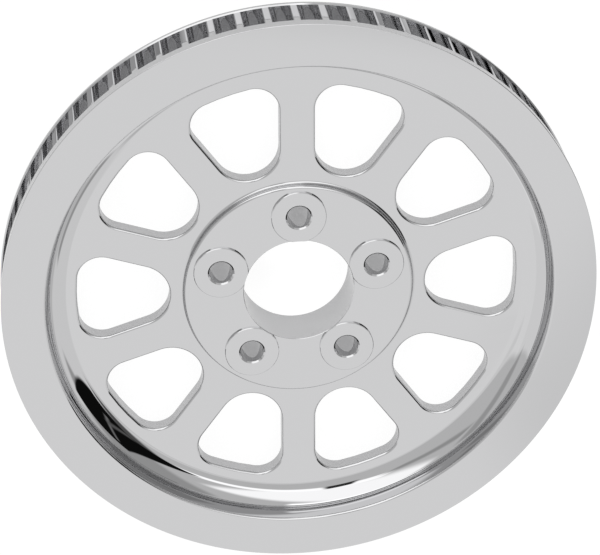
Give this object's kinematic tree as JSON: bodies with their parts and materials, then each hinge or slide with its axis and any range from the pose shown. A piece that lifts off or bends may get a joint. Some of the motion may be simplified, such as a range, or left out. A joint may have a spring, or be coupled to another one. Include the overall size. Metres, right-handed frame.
{
  "type": "belt pulley",
  "caption": "Chromed toothed belt pulley with two flanges, a recessed web with rounded windows between straight spokes, and a bored hub with raised bolt seats.",
  "frame": {"origin": "centre of the hub's back face, on the bore axis", "axes": "+Z along the bore axis towards the front of the pulley, +Y through the middle of one bolt hole"},
  "size_m": [0.2986, 0.2986, 0.0394],
  "materials": {
    "chrome": "polished chrome plate on billet aluminium"
  },
  "bodies": {
    "root": {"pulley": "chrome"}
  },
  "joints": []
}
